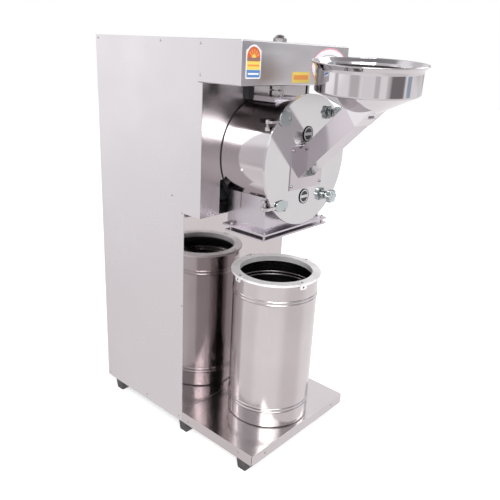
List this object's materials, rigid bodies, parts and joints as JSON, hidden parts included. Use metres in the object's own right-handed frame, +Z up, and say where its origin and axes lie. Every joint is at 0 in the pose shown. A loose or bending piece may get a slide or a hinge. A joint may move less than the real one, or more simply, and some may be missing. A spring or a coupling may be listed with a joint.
{
  "type": "hammer mill",
  "caption": "Stainless cabinet hammer mill with a hinged round door, sloping feed chute and round hopper, and a collecting drum standing on its front tray.",
  "frame": {"origin": "centre of the whole machine in plan, on the floor under the rubber feet", "axes": "+Z up; the front, with the door, hopper and drum, faces -Y; +X is on the right of someone facing the front"},
  "size_m": [0.5482, 1.1348, 1.437],
  "materials": {
    "side_steel": "satin sheet",
    "mirror_steel": "mirror-polished sheet",
    "tray_steel": "satin sheet",
    "hood_steel": "polished sheet",
    "jacket_steel": "polished sheet",
    "cast_steel": "machined casting",
    "hard_steel": "ground wear steel",
    "duct_steel": "satin sheet",
    "door_steel": "fine satin plate",
    "chute_steel": "polished sheet",
    "hopper_steel": "polished spun sheet",
    "zinc": "zinc-plated",
    "bolt_steel": "plain screws",
    "drum_steel": "satin sheet",
    "collar_steel": "bright flat ring",
    "foot_rubber": "moulded",
    "seal_rubber": "moulded",
    "belt_rubber": "cloth-covered",
    "black_rubber": "moulded block",
    "frame_paint": "grey primer",
    "motor_paint": "blue enamel",
    "bearing_steel": "ground",
    "shaft_steel": "turned",
    "pulley_iron": "turned casting",
    "black_plastic": "moulded"
  },
  "bodies": {
    "mill": {"base_frame": "frame_paint", "platform_tray": "tray_steel", "rubber_feet": "foot_rubber", "cabinet_frame": "frame_paint", "left_side_panel": "side_steel", "right_side_panel": "side_steel", "back_panel": "side_steel", "top_panel": "side_steel", "lower_front_panel": "mirror_steel", "upper_front_panel": "mirror_steel", "hood_shell": "side_steel", "hood_front": "hood_steel", "cabinet_screws": "bolt_steel", "cable_gland": "black_plastic", "chamber_body": "cast_steel", "chamber_jacket": "jacket_steel", "chamber_liner": "hard_steel", "screen": "hard_steel", "chamber_seal": "seal_rubber", "outlet_duct": "duct_steel", "sleeve_frame": "duct_steel", "sleeve_studs": "bolt_steel", "vent_saddle": "duct_steel", "vent_pipe": "shaft_steel", "vent_nuts": "zinc", "hood_stops": "black_rubber", "hinge_brackets": "zinc", "hinge_pins": "shaft_steel", "bearing_bridge": "frame_paint", "bearing_housings": "cast_steel", "bearings": "bearing_steel", "motor_housing": "motor_paint", "motor_fan_cover": "motor_paint", "v_belts": "belt_rubber"},
    "rotor": {"rotor_shaft": "shaft_steel", "rotor_hub": "hard_steel", "hammer_pins": "shaft_steel", "rotor_nut": "bolt_steel", "rotor_pulley": "pulley_iron"},
    "hammers_1": {"hammer_set_1": "hard_steel"},
    "hammers_2": {"hammer_set_2": "hard_steel"},
    "hammers_3": {"hammer_set_3": "hard_steel"},
    "hammers_4": {"hammer_set_4": "hard_steel"},
    "motor_rotor": {"motor_shaft": "shaft_steel", "motor_pulley": "pulley_iron", "motor_fan": "black_plastic"},
    "door": {"door_plate": "door_steel", "door_gasket": "seal_rubber", "hinge_lugs": "zinc", "door_bolts": "bolt_steel", "feed_chute": "chute_steel", "hopper": "hopper_steel"},
    "gate": {"feed_gate": "duct_steel"},
    "upper_clamp_washer": {"upper_washer": "bolt_steel"},
    "upper_clamp_knob": {"upper_knob": "zinc"},
    "lower_clamp_washer": {"lower_washer": "bolt_steel"},
    "lower_clamp_knob": {"lower_knob": "zinc"},
    "drum": {"drum_body": "drum_steel", "drum_collar": "collar_steel", "collar_clips": "collar_steel"}
  },
  "joints": [
    {"name": "door_hinge", "type": "hinge", "parent": "mill", "child": "door", "pos_m": [-0.19, -0.19055, 1.055], "axis": [0, 0, -1], "range_deg": [0, 105]},
    {"name": "feed_gate_slide", "type": "slide", "parent": "door", "child": "gate", "axis": [0, -1, 0], "range_m": [0, 0.09]},
    {"name": "rotor_spin", "type": "hinge", "parent": "mill", "child": "rotor", "pos_m": [0, -0.08855, 1.055], "axis": [0, 1, 0], "continuous": true},
    {"name": "motor_spin", "type": "hinge", "parent": "mill", "child": "motor_rotor", "pos_m": [0, 0.38145, 0.1945], "axis": [0, 1, 0], "continuous": true},
    {"name": "drum_slide", "type": "slide", "parent": "mill", "child": "drum", "axis": [0, -1, 0], "range_m": [0, 0.36]},
    {"name": "hammer_swing_1", "type": "hinge", "parent": "rotor", "child": "hammers_1", "pos_m": [0.06505, -0.08855, 1.12005], "axis": [0, 1, 0], "continuous": true},
    {"name": "hammer_swing_2", "type": "hinge", "parent": "rotor", "child": "hammers_2", "pos_m": [-0.06505, -0.08855, 1.12005], "axis": [0, 1, 0], "continuous": true},
    {"name": "hammer_swing_3", "type": "hinge", "parent": "rotor", "child": "hammers_3", "pos_m": [-0.06505, -0.08855, 0.98995], "axis": [0, 1, 0], "continuous": true},
    {"name": "hammer_swing_4", "type": "hinge", "parent": "rotor", "child": "hammers_4", "pos_m": [0.06505, -0.08855, 0.98995], "axis": [0, 1, 0], "continuous": true},
    {"name": "upper_clamp_travel", "type": "slide", "parent": "door", "child": "upper_clamp_washer", "axis": [0, -1, 0], "range_m": [0, 0.00875]},
    {"name": "upper_knob_turn", "type": "hinge", "parent": "upper_clamp_washer", "child": "upper_clamp_knob", "pos_m": [0.124, -0.21855, 1.202], "axis": [0, -1, 0], "range_deg": [0, 1800]},
    {"name": "lower_clamp_travel", "type": "slide", "parent": "door", "child": "lower_clamp_washer", "axis": [0, -1, 0], "range_m": [0, 0.00875]},
    {"name": "lower_knob_turn", "type": "hinge", "parent": "lower_clamp_washer", "child": "lower_clamp_knob", "pos_m": [0.124, -0.21855, 0.924], "axis": [0, -1, 0], "range_deg": [0, 1800]}
  ],
  "couplings": [
    {"joint": "motor_spin", "follows": "rotor_spin", "ratio": 0.61429},
    {"joint": "upper_knob_turn", "follows": "upper_clamp_travel", "rad_per_m": 3590.4},
    {"joint": "lower_knob_turn", "follows": "lower_clamp_travel", "rad_per_m": 3590.4}
  ]
}
